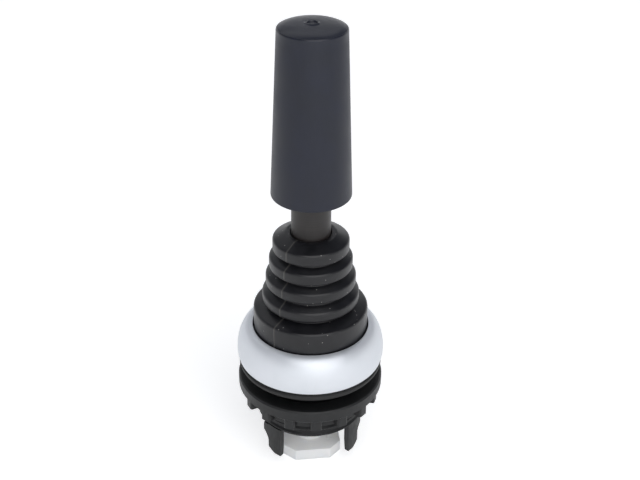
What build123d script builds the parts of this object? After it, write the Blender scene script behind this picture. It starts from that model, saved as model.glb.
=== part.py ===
from build123d import *
import os
from math import acos, asin, cos, radians, sin, sqrt, tan

# A four-way joystick operator for a round panel hole, in millimetres.
# The origin is the centre of the gasket's sealing face, which lies on the front of the panel.
# +Z runs up the lever at rest, -Y is the side nearest the user, and the legs stand on the diagonals.

# Clearances
slip = 0.05  # radial, a pin or shaft in its hole
snug = 0.01  # radial, pressed, screwed or moulded together
assembly = 0.10  # radial, pieces that are pushed over each other once
travel_gap = 0.20  # between a moving piece and what stops it
past = 1.0  # how far a cut runs past the face that it starts from
same = 0.001  # two radii this close are the same

# Lever motion
tilt = 10.0  # degrees from rest to the stop, on each axis
pivot_depth = 9.8  # pivot below the sealing face

# Neck that goes through the panel hole
neck_r = 11.0
neck_wall = 2.0
neck_land = 1.25  # from the pivot pin holes to the end of the neck
neck_chamfer = 0.3
plain_neck = 2.6  # above the thread
thread_depth = 0.35

# Flange and collar above the panel, and the seat of the travel gate
flange_reach = 3.0  # beyond the neck
flange_t = 1.5
collar_reach = 1.3  # beyond the neck
collar_h = 1.85
gate_ledge = 0.5
key_w = 2.4
key_depth = 0.5

# Legs that carry the contact adapter
leg_angle = 41.0  # middle of a leg, from the X axis
leg_length = 6.3
leg_wall = 1.25
leg_half_angle = 9.0
leg_root = 0.5  # runs up into the neck
leg_chamfer = 1.8  # along the tip
leg_chamfer_h = 0.9
leg_relief = 0.25  # thinning of the inner face at the tip
leg_relief_length = 2.7
lug_reach = 1.75
lug_length = 4.6
lug_ramp = 0.15
lug_ramp_h = 0.9
lug_flat = 1.1  # height at full reach
lug_back_r = 3.6
lug_root = 0.3  # runs into the leg
lug_inset = 0.15  # thinner than the leg

# Panel gasket
gasket_t = 1.85
gasket_lip = 0.4  # reaches into the groove above the neck
gasket_lip_foot = 0.1
gasket_inset = 0.1  # inside the foot of the front ring
gasket_edge = 0.35

# Front ring
bezel_foot_w = 0.5
bezel_bulge = 0.25  # widest point beyond the foot
bezel_belly = 1.6  # height of the widest point
bezel_h = 7.2
bezel_lip_gap = 0.3  # round the boot
bezel_lip_land = 0.2
bezel_lip_t = 1.2

# Rubber boot, and the ring that clamps its foot
boot_wall = 0.6
boot_foot_w = 0.9  # clamped foot beyond the base
boot_foot_t = 1.2
boot_base_h = 8.3
folds = 4
first_fold = 2.6
fold_inset = 1.8  # first fold inside the base
fold_pitch = 3.84
fold_face = 1.8
fold_face_growth = 0.15  # each fold's face is taller than the one below
fold_depth = 1.4
fold_edge = 0.35
crown_reach = 3.65  # last fold beyond the sleeve
crown_h = 1.2
boot_neck_w = 1.1
bead_cover = 0.8
bead_h = 1.2

# Travel gate, return spring and its seats
gate_t = 1.5
washer_t = 0.5
washer_margin = 1.1  # beyond the spring
wire_r = 0.4
spring_land = 0.6  # between the washer's bore and the spring
spring_turns = 4
spring_h = 4.9
spring_seat_t = 1.2
spring_seat_margin = 0.3  # beyond the spring
spring_seat_edge = 0.3
spigot_h = 0.8

# Gimbal
ring_gap = 0.4  # round the ring in the neck
ring_wall = 1.9
ring_h = 4.0
ring_chamfer = 0.5
ring_scallop = 0.8
ring_scallop_w = 6.4
pivot_pin_r = 1.25
pivot_pin_inset = 0.4
cross_pin_r = 1.1
cross_pin_inset = 0.2
hub_gap = 0.5  # round the hub in the ring
hub_h = 5.2
hub_gate_gap = 0.5  # over the hub at full tilt
edge_break = 0.2  # broken edges of pins and of the clamp ring

# Lever
rod_r = 2.0
rod_point = 0.35
shank_r = 2.4
tail_r = 1.5
sleeve_r = 3.85
sleeve_tail = 2.4  # below the boot's bead
boot_groove = 0.3
shaft_show = 8.35  # from the boot to the grip
insert_r = 3.0
insert_length = 10.0
insert_band = 4.0
insert_waist = 0.3
insert_gap = 1.0  # over the lock nut
rod_end = 0.5  # above the insert

# Hexagon nut that clamps the sleeve inside the grip
lock_nut_af = 7.0
lock_nut_h = 2.4

# Grip
grip_length = 33.05
grip_r = 7.75
grip_top_r = 6.37
grip_dome = 0.4
grip_rim = 1.15
grip_hem = 0.3
grip_skirt = 1.8  # below the top of the sleeve
bore_end = 1.0  # above the rod
bore_point = 1.2
gate_mark_r = 1.2
gate_mark_depth = 0.25

# Actuator plate on the lever's tail
plate_t = 2.5
plate_drop = 0.9  # below the tips of the legs
plate_corner = 2.4
plate_gap = 0.38  # from its corners to the legs at full tilt
stem_r = 2.9
tail_nut_af = 5.0
tail_nut_h = 1.2
lock_washer_t = 0.4
lock_washer_w = 1.05
lock_washer_slit = 0.4
nut_cover = 0.3

# Panel nut
nut_reach = 3.74  # beyond the neck
nut_gap = 2.7  # to the gasket, with no panel between them
nut_band = 2.6
nut_ribbed = 2.5
nut_wall = 1.7
nut_edge = 0.3
nut_mouth = 0.4
rib_count = 16
rib_start = -91.6  # where the first rib stands, in degrees about Z
rib_reach = 1.4
rib_w = 2.2
rib_round = 0.45

# Tilt on both axes at once
full_tilt = acos(cos(radians(tilt)) ** 2)

# Radii worked out from the neck outwards, then inwards
thread_root_r = neck_r - thread_depth
flange_r = neck_r + flange_reach
collar_r = neck_r + collar_reach
gasket_bore = neck_r - gasket_lip
pocket_r = collar_r + assembly
flange_pocket_r = flange_r + assembly
bezel_foot_r = flange_pocket_r + bezel_foot_w
bezel_r = bezel_foot_r + bezel_bulge
gasket_r = bezel_foot_r - gasket_inset
boot_r = collar_r - boot_foot_w
bezel_lip_r = boot_r + bezel_lip_gap
bezel_top_r = bezel_lip_r + bezel_lip_land
nut_r = neck_r + nut_reach
nut_core_r = neck_r + nut_wall
rib_r = nut_core_r + rib_reach
leg_bore = neck_r - leg_wall
lower_bore = neck_r - neck_wall
gate_r = lower_bore + gate_ledge
upper_bore = gate_r + slip
ring_r = lower_bore - ring_gap
ring_bore = ring_r - ring_wall
hub_r = ring_bore - hub_gap
hub_end_r = sqrt(hub_r**2 - (hub_h / 2) ** 2)

# Heights worked out from the pivot upwards
pivot_z = -pivot_depth
hub_top = pivot_z + hub_h / 2
hub_foot = pivot_z - hub_h / 2
hub_rise = hub_r * sin(asin(hub_h / 2 / hub_r) + full_tilt)
gate_z = pivot_z + hub_rise + hub_gate_gap
gate_top = gate_z + gate_t
washer_top = gate_top + washer_t
spring_top = washer_top + spring_h
shank_foot = spring_top + spring_seat_t
flange_top = gasket_t + flange_t
boot_seat = flange_top + collar_h
bezel_top = gasket_t + bezel_h
belly_z = gasket_t + bezel_belly
lip_under = bezel_top - bezel_lip_t
foot_top = boot_seat + boot_foot_t
boot_base_top = boot_seat + boot_base_h
fold_heights = [boot_base_top + first_fold + fold_pitch * k for k in range(folds)]
fold_faces = [fold_face + fold_face_growth * k for k in range(folds)]
crown_top = fold_heights[-1] + fold_faces[-1] / 2 + crown_h
bead_top = crown_top - bead_cover
bead_foot = bead_top - bead_h
sleeve_foot = bead_foot - sleeve_tail
grip_bottom = crown_top + shaft_show
sleeve_top = grip_bottom + grip_skirt
insert_foot = sleeve_top + lock_nut_h + insert_gap
insert_top = insert_foot + insert_length
rod_top = insert_top + rod_end
grip_top = grip_bottom + grip_length

# Heights worked out from the pivot downwards
neck_end = pivot_z - pivot_pin_r - neck_land
leg_tip = neck_end - leg_length
plate_top = leg_tip - plate_drop
plate_foot = plate_top - plate_t
tail_foot = plate_foot + nut_cover
tail_nut_top = tail_foot + tail_nut_h
tail_washer_top = tail_nut_top + lock_washer_t
nut_top = -nut_gap
nut_foot = nut_top - nut_band - nut_ribbed

# Widths that the tilt decides
gate_half = rod_r / cos(radians(tilt)) + (gate_top - pivot_z) * tan(radians(tilt)) + travel_gap
gate_corner_r = rod_r - travel_gap
washer_bore = rod_r / cos(full_tilt) + (washer_top - pivot_z) * tan(full_tilt) + travel_gap / 2
spring_r = washer_bore + spring_land + wire_r
washer_r = spring_r + wire_r + washer_margin
spring_seat_r = spring_r + wire_r + spring_seat_margin
plate_swing = (pivot_z - plate_foot) * sin(full_tilt)
plate_corner_reach = (leg_bore + leg_relief - plate_gap - plate_swing) / cos(full_tilt)
plate_w = sqrt(2) * plate_corner_reach + plate_corner

os.makedirs("parts", exist_ok=True)


# Moulded body: flange, threaded neck, gate ledge, pivot pin holes and four adapter legs
with BuildPart() as operator_body:
    with BuildSketch(Plane.XZ):
        with BuildLine():
            Polyline(
                (lower_bore, neck_end),
                (thread_root_r, neck_end),
                (thread_root_r, -plain_neck),
                (neck_r, -plain_neck),
                (neck_r, gasket_lip_foot),
                (gasket_bore, gasket_lip_foot),
                (gasket_bore, gasket_t),
                (flange_r, gasket_t),
                (flange_r, flange_top),
                (collar_r, flange_top),
                (collar_r, boot_seat),
                (upper_bore, boot_seat),
                (upper_bore, gate_z),
                (lower_bore, gate_z),
                close=True,
            )
        make_face()
    revolve(axis=Axis.Z)
    neck_rims = operator_body.edges().filter_by(GeomType.CIRCLE).sort_by(Axis.Z)[:2]
    chamfer(neck_rims, neck_chamfer)
    # Keyways that stop the gate turning
    with BuildSketch(Plane.XY.offset(gate_z)):
        with Locations((0, upper_bore), (0, -upper_bore)):
            Rectangle(key_w + 2 * assembly, 2 * (key_depth + assembly))
    extrude(amount=boot_seat - gate_z, mode=Mode.SUBTRACT)
    # One leg with its latch lug, then its mirror images
    flank = radians(leg_angle - leg_half_angle)
    far_flank = radians(leg_angle + leg_half_angle)
    with BuildSketch(Plane.XY.offset(leg_tip)):
        with BuildLine():
            CenterArc((0, 0), neck_r, leg_angle - leg_half_angle, 2 * leg_half_angle)
            CenterArc((0, 0), leg_bore, leg_angle - leg_half_angle, 2 * leg_half_angle)
            for side in (flank, far_flank):
                Line(
                    (leg_bore * cos(side), leg_bore * sin(side)),
                    (neck_r * cos(side), neck_r * sin(side)),
                )
        make_face()
    extrude(amount=leg_length + leg_root)
    flank_plane = Plane(
        origin=(leg_bore * cos(flank), leg_bore * sin(flank), 0),
        x_dir=(-sin(flank), cos(flank), 0),
        z_dir=(cos(flank), sin(flank), 0),
    )
    lug_back_z = neck_end - lug_ramp_h - lug_flat
    with BuildSketch(flank_plane):
        with BuildLine():
            Polyline(
                (0, neck_end - lug_length),
                (lug_root, neck_end - lug_length),
                (lug_root, neck_end),
                (lug_ramp - lug_reach, neck_end),
                (-lug_reach, neck_end - lug_ramp_h),
                (-lug_reach, lug_back_z),
            )
            RadiusArc((-lug_reach, lug_back_z), (0, neck_end - lug_length), lug_back_r)
        make_face()
    extrude(amount=leg_wall - lug_inset)
    with BuildSketch(flank_plane.offset(-past)):
        with BuildLine():
            Polyline(
                (-past, leg_tip - past),
                (leg_chamfer, leg_tip - past),
                (leg_chamfer, leg_tip),
                (0, leg_tip + leg_chamfer_h),
                (-past, leg_tip + leg_chamfer_h),
                close=True,
            )
        make_face()
    extrude(amount=leg_wall + 2 * past, mode=Mode.SUBTRACT)
    # The legs' inner faces thin out at the tips, clear of the tilted plate
    with BuildSketch(Plane.XZ):
        with BuildLine():
            Polyline(
                (leg_bore - past, leg_tip + leg_relief_length),
                (leg_bore, leg_tip + leg_relief_length),
                (leg_bore + leg_relief, leg_tip),
                (leg_bore + leg_relief, leg_tip - past),
                (leg_bore - past, leg_tip - past),
                close=True,
            )
        make_face()
    revolve(axis=Axis.Z, mode=Mode.SUBTRACT)
    mirror(about=Plane.YZ)
    mirror(about=Plane.XZ)
    # Holes for the two pivot pins
    with BuildSketch(Plane.YZ.offset(-neck_r - past)):
        with Locations((0, pivot_z)):
            Circle(pivot_pin_r)
    extrude(amount=2 * (neck_r + past), mode=Mode.SUBTRACT)
operator_body.part.label = "operator_body"
export_step(operator_body.part, "parts/operator_body.step")


# Rubber ring between the front ring and the panel, with a lip that holds it on the body
with BuildPart() as panel_gasket:
    with BuildSketch(Plane.XZ) as gasket_section:
        with BuildLine():
            Polyline(
                (neck_r + slip, 0),
                (gasket_r, 0),
                (gasket_r, gasket_t),
                (gasket_bore + slip, gasket_t),
                (gasket_bore + slip, gasket_lip_foot),
                (neck_r + slip, gasket_lip_foot),
                close=True,
            )
        make_face()
        fillet(gasket_section.vertices().group_by(Axis.X)[-1], gasket_edge)
    revolve(axis=Axis.Z)
panel_gasket.part.label = "panel_gasket"
export_step(panel_gasket.part, "parts/panel_gasket.step")


# Satin front ring: a rounded shell over the flange, with a lip that holds the boot down
with BuildPart() as bezel_ring:
    with BuildSketch(Plane.XZ):
        with BuildLine():
            EllipticalCenterArc(
                (bezel_top_r, belly_z),
                bezel_r - bezel_top_r,
                bezel_top - belly_z,
                start_angle=0,
                arc_size=90,
            )
            TangentArc((bezel_r, belly_z), (bezel_foot_r, gasket_t), tangent=(0, -1))
            Polyline(
                (bezel_foot_r, gasket_t),
                (flange_pocket_r, gasket_t),
                (flange_pocket_r, flange_top),
                (pocket_r, flange_top),
                (pocket_r, lip_under),
                (bezel_lip_r, lip_under),
                (bezel_lip_r, bezel_top),
                (bezel_top_r, bezel_top),
            )
        make_face()
    revolve(axis=Axis.Z)
bezel_ring.part.label = "bezel_ring"
export_step(bezel_ring.part, "parts/bezel_ring.step")


# Hard ring that the front ring presses onto the foot of the boot
with BuildPart() as boot_clamp_ring:
    with BuildSketch(Plane.XZ) as clamp_section:
        with Locations((boot_r + assembly, foot_top)):
            Rectangle(
                pocket_r - boot_r - 2 * assembly,
                lip_under - foot_top,
                align=(Align.MIN, Align.MIN),
            )
        chamfer(clamp_section.vertices().group_by(Axis.X)[0], edge_break)
    revolve(axis=Axis.Z)
boot_clamp_ring.part.label = "boot_clamp_ring"
export_step(boot_clamp_ring.part, "parts/boot_clamp_ring.step")


# Rubber boot: a clamped foot, a straight base and folds that shrink towards the shaft
first_fold_r = boot_r - fold_inset
last_fold_r = sleeve_r + crown_reach
fold_radii = [first_fold_r + (last_fold_r - first_fold_r) * k / (folds - 1) for k in range(folds)]
outside = [
    (collar_r, boot_seat),
    (collar_r, foot_top),
    (boot_r, foot_top),
    (boot_r, boot_base_top),
]
inside = [
    (boot_r - boot_wall, boot_seat),
    (boot_r - boot_wall, boot_base_top - boot_wall),
]
for r, z, face in zip(fold_radii, fold_heights, fold_faces):
    valley_z = (outside[-1][1] + z - face / 2) / 2
    outside.append((r - fold_depth, valley_z))
    outside.append((r, z - face / 2))
    outside.append((r, z + face / 2))
    inside.append((r - fold_depth - boot_wall, valley_z))
    inside.append((r - boot_wall, z - (face - boot_wall) / 2))
    inside.append((r - boot_wall, z + (face - boot_wall) / 2))
neck_outer = sleeve_r + boot_neck_w
bead_r = sleeve_r - boot_groove + slip
neck = [
    (neck_outer, crown_top),
    (sleeve_r + travel_gap, crown_top),
    (sleeve_r + travel_gap, bead_top),
    (bead_r, bead_top),
    (bead_r, bead_foot),
    (neck_outer, bead_foot),
    (neck_outer, crown_top - 2 * boot_wall),
]
with BuildPart() as bellows:
    with BuildSketch(Plane.XZ) as boot_section:
        with BuildLine():
            Polyline(*outside, *neck, *reversed(inside), close=True)
        make_face()
        rims = [
            v
            for v in boot_section.vertices()
            if v.Y > foot_top + same and min(abs(v.X - r) for r in [boot_r, *fold_radii]) < same
        ]
        fillet(rims, fold_edge)
    revolve(axis=Axis.Z)
bellows.part.label = "bellows"
export_step(bellows.part, "parts/bellows.step")


# Plate with a square window that stops the lever at the end of its tilt
with BuildPart() as travel_gate:
    with BuildSketch(Plane.XY.offset(gate_z)):
        Circle(gate_r)
        Rectangle(key_w, 2 * (upper_bore + key_depth))
        RectangleRounded(2 * gate_half, 2 * gate_half, gate_corner_r, mode=Mode.SUBTRACT)
    extrude(amount=gate_t)
travel_gate.part.label = "travel_gate"
export_step(travel_gate.part, "parts/travel_gate.step")


# Steel washer under the spring
with BuildPart() as spring_seat_washer:
    with BuildSketch(Plane.XY.offset(gate_top)):
        Circle(washer_r)
        Circle(washer_bore, mode=Mode.SUBTRACT)
    extrude(amount=washer_t)
spring_seat_washer.part.label = "spring_seat_washer"
export_step(spring_seat_washer.part, "parts/spring_seat_washer.step")


# Coil spring that stands the lever upright again
with BuildPart() as return_spring:
    with BuildLine() as coil:
        coil_h = spring_h - 2 * wire_r
        Helix(coil_h / spring_turns, coil_h, spring_r, center=(0, 0, washer_top + wire_r))
    with BuildSketch(coil.line ^ 0):
        Circle(wire_r)
    sweep(path=coil.line, is_frenet=True)
return_spring.part.label = "return_spring"
export_step(return_spring.part, "parts/return_spring.step")


# Two pins along X that carry the gimbal ring in the neck
with BuildPart() as gimbal_pivot_pins:
    with BuildSketch(Plane.YZ.offset(ring_bore + 2 * assembly)):
        with Locations((0, pivot_z)):
            Circle(pivot_pin_r)
    extrude(amount=neck_r - pivot_pin_inset - ring_bore - 2 * assembly)
    chamfer(gimbal_pivot_pins.edges().filter_by(GeomType.CIRCLE), edge_break)
    mirror(about=Plane.YZ)
gimbal_pivot_pins.part.label = "gimbal_pivot_pins"
export_step(gimbal_pivot_pins.part, "parts/gimbal_pivot_pins.step")


# Gimbal ring that turns about X, with relieved quarters between its four bearing bosses
with BuildPart() as gimbal_ring:
    with BuildSketch(Plane.XY.offset(pivot_z - ring_h / 2)):
        Circle(ring_r)
        Circle(ring_bore, mode=Mode.SUBTRACT)
    extrude(amount=ring_h)
    chamfer(gimbal_ring.edges().filter_by(GeomType.CIRCLE).sort_by(SortBy.RADIUS)[-2:], ring_chamfer)
    for face_z, depth in ((pivot_z + ring_h / 2, -ring_scallop), (pivot_z - ring_h / 2, ring_scallop)):
        with BuildSketch(Plane.XY.offset(face_z)):
            with PolarLocations(ring_r - ring_wall / 2, 4, start_angle=45):
                Rectangle(2 * ring_wall, ring_scallop_w)
        extrude(amount=depth, mode=Mode.SUBTRACT)
    with BuildSketch(Plane.YZ.offset(-ring_r - past)):
        with Locations((0, pivot_z)):
            Circle(pivot_pin_r + slip)
    extrude(amount=2 * (ring_r + past), mode=Mode.SUBTRACT)
    with BuildSketch(Plane.XZ.offset(-ring_r - past)):
        with Locations((0, pivot_z)):
            Circle(cross_pin_r + snug)
    extrude(amount=2 * (ring_r + past), mode=Mode.SUBTRACT)
gimbal_ring.part.label = "gimbal_ring"
export_step(gimbal_ring.part, "parts/gimbal_ring.step")


# Pin along Y that carries the lever in the gimbal ring
with BuildPart() as cross_pin:
    with BuildSketch(Plane.XZ.offset(-ring_r + cross_pin_inset)):
        with Locations((0, pivot_z)):
            Circle(cross_pin_r)
    extrude(amount=2 * (ring_r - cross_pin_inset))
    chamfer(cross_pin.edges().filter_by(GeomType.CIRCLE), edge_break)
cross_pin.part.label = "cross_pin"
export_step(cross_pin.part, "parts/cross_pin.step")


# Steel rod through the whole lever; its thicker shank rests on the spring cap and carries the sleeve
with BuildPart() as lever_rod:
    with BuildSketch(Plane.XZ) as rod_section:
        with BuildLine():
            Polyline(
                (0, tail_foot),
                (tail_r, tail_foot),
                (tail_r, hub_foot),
                (rod_r, hub_foot),
                (rod_r, shank_foot),
                (shank_r, shank_foot),
                (shank_r, sleeve_foot),
                (rod_r, sleeve_foot),
                (rod_r, rod_top),
                (0, rod_top),
                close=True,
            )
        make_face()
        chamfer(rod_section.vertices().group_by(Axis.Y)[0].sort_by(Axis.X)[-1], rod_point)
        chamfer(rod_section.vertices().group_by(Axis.Y)[-1].sort_by(Axis.X)[-1], rod_point)
    revolve(axis=Axis.Z)
    with BuildSketch(Plane.XZ.offset(-rod_r - past)):
        with Locations((0, pivot_z)):
            Circle(cross_pin_r + slip)
    extrude(amount=2 * (rod_r + past), mode=Mode.SUBTRACT)
lever_rod.part.label = "lever_rod"
export_step(lever_rod.part, "parts/lever_rod.step")


# Barrel-shaped hub that turns on the cross pin
with BuildPart() as lever_hub:
    with BuildSketch(Plane.XZ):
        with BuildLine():
            ThreePointArc((hub_end_r, hub_foot), (hub_r, pivot_z), (hub_end_r, hub_top))
            Polyline(
                (hub_end_r, hub_top),
                (rod_r + snug, hub_top),
                (rod_r + snug, hub_foot),
                (hub_end_r, hub_foot),
            )
        make_face()
    revolve(axis=Axis.Z)
    with BuildSketch(Plane.XZ.offset(-hub_r - past)):
        with Locations((0, pivot_z)):
            Circle(cross_pin_r + slip)
    extrude(amount=2 * (hub_r + past), mode=Mode.SUBTRACT)
lever_hub.part.label = "lever_hub"
export_step(lever_hub.part, "parts/lever_hub.step")


# Upper seat of the spring, with a spigot that centres the coil
with BuildPart() as spring_cap:
    with BuildSketch(Plane.XY.offset(spring_top)):
        Circle(spring_seat_r)
    extrude(amount=spring_seat_t)
    chamfer(spring_cap.edges().group_by(Axis.Z)[-1], spring_seat_edge)
    with BuildSketch(Plane.XY.offset(spring_top - spigot_h)):
        Circle(spring_r - wire_r - travel_gap)
    extrude(amount=spigot_h)
    with BuildSketch(Plane.XY.offset(spring_top - spigot_h)):
        Circle(rod_r + slip)
    extrude(amount=spigot_h + spring_seat_t, mode=Mode.SUBTRACT)
spring_cap.part.label = "spring_cap"
export_step(spring_cap.part, "parts/spring_cap.step")


# Shaft sleeve between the rod's shank and the lock nut, grooved for the neck of the boot
with BuildPart() as lever_sleeve:
    with BuildSketch(Plane.XZ):
        with BuildLine():
            Polyline(
                (rod_r + slip, sleeve_foot),
                (sleeve_r, sleeve_foot),
                (sleeve_r, bead_foot - slip),
                (sleeve_r - boot_groove, bead_foot - slip),
                (sleeve_r - boot_groove, bead_top + slip),
                (sleeve_r, bead_top + slip),
                (sleeve_r, sleeve_top),
                (rod_r + slip, sleeve_top),
                close=True,
            )
        make_face()
    revolve(axis=Axis.Z)
lever_sleeve.part.label = "lever_sleeve"
export_step(lever_sleeve.part, "parts/lever_sleeve.step")


# Nut that clamps the sleeve on the rod, inside the grip
with BuildPart() as grip_lock_nut:
    with BuildSketch(Plane.XY.offset(sleeve_top)):
        RegularPolygon(lock_nut_af / 2, 6, major_radius=False)
        Circle(rod_r + snug, mode=Mode.SUBTRACT)
    extrude(amount=lock_nut_h)
grip_lock_nut.part.label = "grip_lock_nut"
export_step(grip_lock_nut.part, "parts/grip_lock_nut.step")


# Tapped insert moulded into the grip, necked so that it can't pull out
with BuildPart() as grip_insert:
    with BuildSketch(Plane.XZ):
        with BuildLine():
            Polyline(
                (rod_r + snug, insert_foot),
                (insert_r, insert_foot),
                (insert_r, insert_foot + insert_band),
                (insert_r - insert_waist, insert_foot + insert_band),
                (insert_r - insert_waist, insert_top - insert_band),
                (insert_r, insert_top - insert_band),
                (insert_r, insert_top),
                (rod_r + snug, insert_top),
                close=True,
            )
        make_face()
    revolve(axis=Axis.Z)
grip_insert.part.label = "grip_insert"
export_step(grip_insert.part, "parts/grip_insert.step")


# Tapered grip with a domed end and a stepped blind bore
grip_bore_r = max(lock_nut_af / sqrt(3), sleeve_r) + assembly
dome_r = (grip_top_r**2 + grip_dome**2) / (2 * grip_dome)
with BuildPart() as grip:
    with BuildSketch(Plane.XZ) as grip_section:
        with BuildLine():
            Polyline(
                (0, grip_top + grip_dome),
                (0, rod_top + bore_end + bore_point),
                (rod_r, rod_top + bore_end),
                (rod_r + assembly, insert_top),
                (insert_r + snug, insert_top),
                (insert_r + snug, insert_foot),
                (grip_bore_r, insert_foot),
                (grip_bore_r, grip_bottom),
                (grip_r, grip_bottom),
                (grip_top_r, grip_top),
            )
            RadiusArc((grip_top_r, grip_top), (0, grip_top + grip_dome), -dome_r)
        make_face()
        fillet(grip_section.vertices().group_by(Axis.Y)[0].sort_by(Axis.X)[-1], grip_hem)
        fillet(grip_section.vertices().group_by(Axis.Y)[-2].sort_by(Axis.X)[-1], grip_rim)
    revolve(axis=Axis.Z)
    with BuildSketch(Plane.XY.offset(grip_top + grip_dome - gate_mark_depth)):
        Circle(gate_mark_r)
    extrude(amount=grip_dome, mode=Mode.SUBTRACT)
grip.part.label = "grip"
export_step(grip.part, "parts/grip.step")


# Octagonal plate that presses the contact plungers, with its stem up to the hub
with BuildPart() as actuator_plate:
    with BuildSketch(Plane.XY.offset(plate_foot)) as plate_outline:
        Rectangle(plate_w, plate_w)
        chamfer(plate_outline.vertices(), plate_corner)
    extrude(amount=plate_t)
    with BuildSketch(Plane.XY.offset(plate_top)):
        Circle(stem_r)
    extrude(amount=hub_foot - plate_top)
    with BuildSketch(Plane.XY.offset(plate_foot)):
        Circle(tail_r + slip)
    extrude(amount=hub_foot - plate_foot, mode=Mode.SUBTRACT)
    with BuildSketch(Plane.XY.offset(plate_foot)):
        Circle(tail_nut_af / sqrt(3) + assembly)
    extrude(amount=tail_washer_top - plate_foot, mode=Mode.SUBTRACT)
actuator_plate.part.label = "actuator_plate"
export_step(actuator_plate.part, "parts/actuator_plate.step")


# Thin nut and split washer in the underside of the plate
with BuildPart() as actuator_nut:
    with BuildSketch(Plane.XY.offset(tail_foot)):
        RegularPolygon(tail_nut_af / 2, 6, major_radius=False)
        Circle(tail_r + snug, mode=Mode.SUBTRACT)
    extrude(amount=tail_nut_h)
actuator_nut.part.label = "actuator_nut"
export_step(actuator_nut.part, "parts/actuator_nut.step")

with BuildPart() as actuator_lock_washer:
    with BuildSketch(Plane.XY.offset(tail_nut_top)):
        Circle(tail_r + slip + lock_washer_w)
        Circle(tail_r + slip, mode=Mode.SUBTRACT)
        with Locations((tail_r + slip + lock_washer_w / 2, 0)):
            Rectangle(lock_washer_w + 2 * slip, lock_washer_slit, mode=Mode.SUBTRACT)
    extrude(amount=lock_washer_t)
actuator_lock_washer.part.label = "actuator_lock_washer"
export_step(actuator_lock_washer.part, "parts/actuator_lock_washer.step")


# Panel nut: a smooth band over a ribbed grip, both around the threaded bore
with BuildPart() as ring_nut:
    with BuildSketch(Plane.XY.offset(nut_foot)):
        Circle(nut_core_r)
        with PolarLocations(nut_core_r, rib_count, start_angle=rib_start):
            RectangleRounded(2 * (rib_r - nut_core_r), rib_w, rib_round)
    extrude(amount=nut_ribbed)
    with BuildSketch(Plane.XY.offset(nut_top - nut_band)):
        Circle(nut_r)
    extrude(amount=nut_band)
    rim = ring_nut.edges().filter_by(GeomType.CIRCLE).filter_by(lambda e: abs(e.radius - nut_r) < same)
    chamfer(rim, nut_edge)
    with BuildSketch(Plane.XY.offset(nut_foot)):
        Circle(neck_r + slip)
    extrude(amount=nut_band + nut_ribbed, mode=Mode.SUBTRACT)
    nut_circles = ring_nut.edges().filter_by(GeomType.CIRCLE)
    mouths = nut_circles.filter_by(lambda e: abs(e.radius - neck_r - slip) < same)
    chamfer(mouths, nut_mouth)
ring_nut.part.label = "ring_nut"
export_step(ring_nut.part, "parts/ring_nut.step")
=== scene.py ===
import math

import bmesh
import bpy
import numpy as np
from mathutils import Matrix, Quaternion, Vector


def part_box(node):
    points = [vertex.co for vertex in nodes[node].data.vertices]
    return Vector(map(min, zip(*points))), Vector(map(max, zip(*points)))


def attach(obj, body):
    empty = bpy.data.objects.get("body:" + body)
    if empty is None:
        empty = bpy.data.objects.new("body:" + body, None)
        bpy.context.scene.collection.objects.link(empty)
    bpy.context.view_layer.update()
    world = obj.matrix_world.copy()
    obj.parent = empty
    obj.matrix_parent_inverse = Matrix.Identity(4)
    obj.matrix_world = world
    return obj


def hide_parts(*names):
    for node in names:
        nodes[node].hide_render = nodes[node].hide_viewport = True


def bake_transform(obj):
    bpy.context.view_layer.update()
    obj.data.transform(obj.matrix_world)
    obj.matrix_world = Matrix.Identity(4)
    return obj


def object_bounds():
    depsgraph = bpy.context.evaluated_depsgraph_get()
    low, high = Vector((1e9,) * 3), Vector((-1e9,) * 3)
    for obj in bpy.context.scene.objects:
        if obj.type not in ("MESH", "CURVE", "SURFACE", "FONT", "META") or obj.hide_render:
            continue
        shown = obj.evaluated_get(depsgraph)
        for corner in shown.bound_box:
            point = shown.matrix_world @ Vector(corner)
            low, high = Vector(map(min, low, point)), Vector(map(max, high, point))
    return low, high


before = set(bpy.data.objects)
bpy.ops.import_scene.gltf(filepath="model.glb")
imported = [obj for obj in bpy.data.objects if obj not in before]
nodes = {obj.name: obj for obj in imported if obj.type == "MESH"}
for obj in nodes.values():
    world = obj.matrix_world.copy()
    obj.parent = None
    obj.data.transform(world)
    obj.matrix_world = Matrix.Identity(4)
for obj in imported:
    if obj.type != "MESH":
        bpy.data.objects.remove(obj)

cad_box = [list(corner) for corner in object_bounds()]
scene = bpy.context.scene
scene.view_settings.view_transform = "Standard"


# Camera.
# A short telephoto lens about 220 mm away, looking 30 degrees down at a joystick that stands almost
# square to it. It is aimed at the middle of the lever's axis, and the axis sits a little left of centre.
aim_height = 0.02805
camera_distance = 0.2192
camera_azimuth = math.radians(-7.0)
camera_elevation = math.radians(30.48)
camera_roll = math.radians(0.38)
focal_pixels = 1133.5
image_width = 640
sensor_width = 36.0
axis_left_of_centre = 9.0  # pixels

away = np.array([
    math.sin(camera_azimuth) * math.cos(camera_elevation),
    -math.cos(camera_azimuth) * math.cos(camera_elevation),
    math.sin(camera_elevation),
])
camera_data = bpy.data.cameras.new("camera")
camera_data.sensor_width = sensor_width
camera_data.lens = sensor_width * focal_pixels / image_width
camera_data.shift_x = axis_left_of_centre / image_width
camera_data.clip_start = 0.01
camera_data.clip_end = 20.0
camera = bpy.data.objects.new("camera", camera_data)
camera.location = np.array([0.0, 0.0, aim_height]) + away * camera_distance
camera.rotation_euler = (math.pi / 2 - camera_elevation, 0.0, camera_azimuth)
level = camera.rotation_euler.to_quaternion()
camera.rotation_mode = "QUATERNION"
camera.rotation_quaternion = level @ Quaternion((0.0, 0.0, 1.0), camera_roll)
scene.collection.objects.link(camera)
scene.camera = camera


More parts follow.
